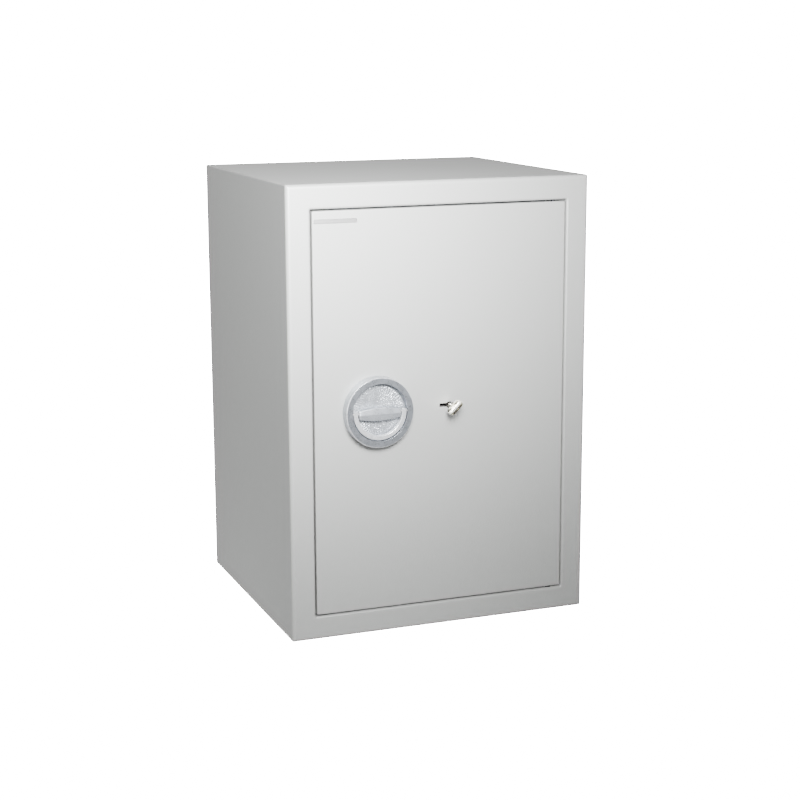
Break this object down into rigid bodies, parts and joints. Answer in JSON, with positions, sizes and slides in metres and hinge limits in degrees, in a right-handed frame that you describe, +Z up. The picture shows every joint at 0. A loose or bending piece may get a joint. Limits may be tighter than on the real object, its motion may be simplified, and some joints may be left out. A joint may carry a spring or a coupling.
{
  "type": "safe",
  "caption": "Upright steel cabinet safe with an inset hinged door, round grip disc working its bolts, double-bitted key lock, shelf and insulated walls.",
  "frame": {"origin": "middle of the casing's underside", "axes": "+Z up, the door faces -Y and hangs at +X"},
  "size_m": [0.45, 0.4417, 0.64],
  "materials": {
    "casing_paint": "light grey powder coat, fine satin",
    "door_paint": "light grey powder coat, fine satin",
    "pan_paint": "light grey powder coat",
    "liner_paint": "light grey powder coat",
    "insulation": "grey fibre-cement board, matt",
    "silver_casting": "silver lacquered die casting, dish floor with a radial grain",
    "black_plastic": "matt",
    "seal_rubber": "matt",
    "brass": "machined",
    "badge_aluminium": "brushed",
    "key_nickel": "nickel plated",
    "bright_steel": "ground",
    "blued_steel": "black oxide, oiled",
    "zinc_plate": "zinc plated"
  },
  "bodies": {
    "root": {"outer_casing": "casing_paint", "back_panel": "casing_paint", "inner_liner": "liner_paint", "wall_insulation": "insulation", "hinge_bush_upper": "blued_steel", "hinge_bush_lower": "blued_steel", "floor_anchor_plug_1": "black_plastic", "floor_anchor_plug_2": "black_plastic", "wall_anchor_plug_1": "black_plastic", "wall_anchor_plug_2": "black_plastic", "shelf_clip_1": "zinc_plate", "shelf_clip_2": "zinc_plate", "shelf_clip_3": "zinc_plate", "shelf_clip_4": "zinc_plate"},
    "shelf": {"shelf": "liner_paint"},
    "door": {"door_plate": "door_paint", "door_pan": "pan_paint", "fire_board": "insulation", "carrier_plate": "zinc_plate", "inner_cover": "pan_paint", "door_seal": "seal_rubber", "badge_plate": "badge_aluminium", "hinge_block_upper": "blued_steel", "hinge_block_lower": "blued_steel", "hinge_pin_upper": "blued_steel", "hinge_pin_lower": "blued_steel", "hinge_side_bar": "zinc_plate", "cover_screw_1": "zinc_plate", "cover_screw_2": "zinc_plate", "cover_screw_3": "zinc_plate", "cover_screw_4": "zinc_plate", "cover_screw_5": "zinc_plate", "cover_screw_6": "zinc_plate", "spindle_bush": "brass", "bar_guide_upper": "zinc_plate", "bar_guide_lower": "zinc_plate", "top_rod_guide": "zinc_plate", "bottom_rod_guide": "zinc_plate", "lock_case": "zinc_plate", "lock_cover": "zinc_plate", "lever_post": "bright_steel"},
    "handle": {"handle_disc": "silver_casting", "handle_spindle": "bright_steel", "drive_cam": "zinc_plate", "grip_pin": "bright_steel"},
    "grip": {"folding_grip": "silver_casting"},
    "side_bolts": {"bolt_bar": "zinc_plate", "side_bolt_lower": "bright_steel", "side_bolt_middle": "bright_steel", "side_bolt_upper": "bright_steel"},
    "top_rod": {"top_rod": "zinc_plate", "top_bolt": "bright_steel"},
    "bottom_rod": {"bottom_rod": "zinc_plate", "bottom_bolt": "bright_steel"},
    "lock_bolt": {"lock_bolt": "brass"},
    "levers": {"lever_1": "brass", "lever_2": "brass", "lever_3": "brass", "lever_4": "brass"},
    "key": {"key": "key_nickel"}
  },
  "joints": [
    {"name": "door_swing", "type": "hinge", "parent": "root", "child": "door", "pos_m": [0.173, -0.197, 0.3233], "axis": [0, 0, 1], "range_deg": [0, 110]},
    {"name": "shelf_lift", "type": "slide", "parent": "root", "child": "shelf", "axis": [0, 0, 1], "range_m": [0, 0.06]},
    {"name": "handle_turn", "type": "hinge", "parent": "door", "child": "handle", "pos_m": [-0.098, -0.205, 0.3233], "axis": [0, -1, 0], "range_deg": [0, 90]},
    {"name": "grip_fold", "type": "hinge", "parent": "handle", "child": "grip", "pos_m": [-0.098, -0.2178, 0.3233], "axis": [-1, 0, 0], "range_deg": [0, 90]},
    {"name": "side_bolts_throw", "type": "slide", "parent": "door", "child": "side_bolts", "axis": [-1, 0, 0], "range_m": [-0.0001, 0.021]},
    {"name": "top_rod_throw", "type": "slide", "parent": "door", "child": "top_rod", "axis": [0, 0, 1], "range_m": [-0.0001, 0.021]},
    {"name": "bottom_rod_throw", "type": "slide", "parent": "door", "child": "bottom_rod", "axis": [0, 0, -1], "range_m": [-0.0001, 0.021]},
    {"name": "key_turn", "type": "hinge", "parent": "door", "child": "key", "pos_m": [0.0115, -0.205, 0.3233], "axis": [0, -1, 0], "range_deg": [-45, 45]},
    {"name": "lock_bolt_throw", "type": "slide", "parent": "door", "child": "lock_bolt", "axis": [-1, 0, 0], "range_m": [-0.0061, 0.0061]},
    {"name": "lever_lift", "type": "hinge", "parent": "door", "child": "levers", "pos_m": [0.0385, -0.174, 0.3433], "axis": [0, 1, 0], "range_deg": [-3, 3]}
  ],
  "couplings": [
    {"joint": "side_bolts_throw", "follows": "handle_turn", "m_per_rad": 0.013055},
    {"joint": "top_rod_throw", "follows": "handle_turn", "m_per_rad": 0.013055},
    {"joint": "bottom_rod_throw", "follows": "handle_turn", "m_per_rad": 0.013055},
    {"joint": "lock_bolt_throw", "follows": "key_turn", "m_per_rad": -0.007639},
    {"joint": "lever_lift", "follows": "key_turn", "ratio": 0.03}
  ]
}
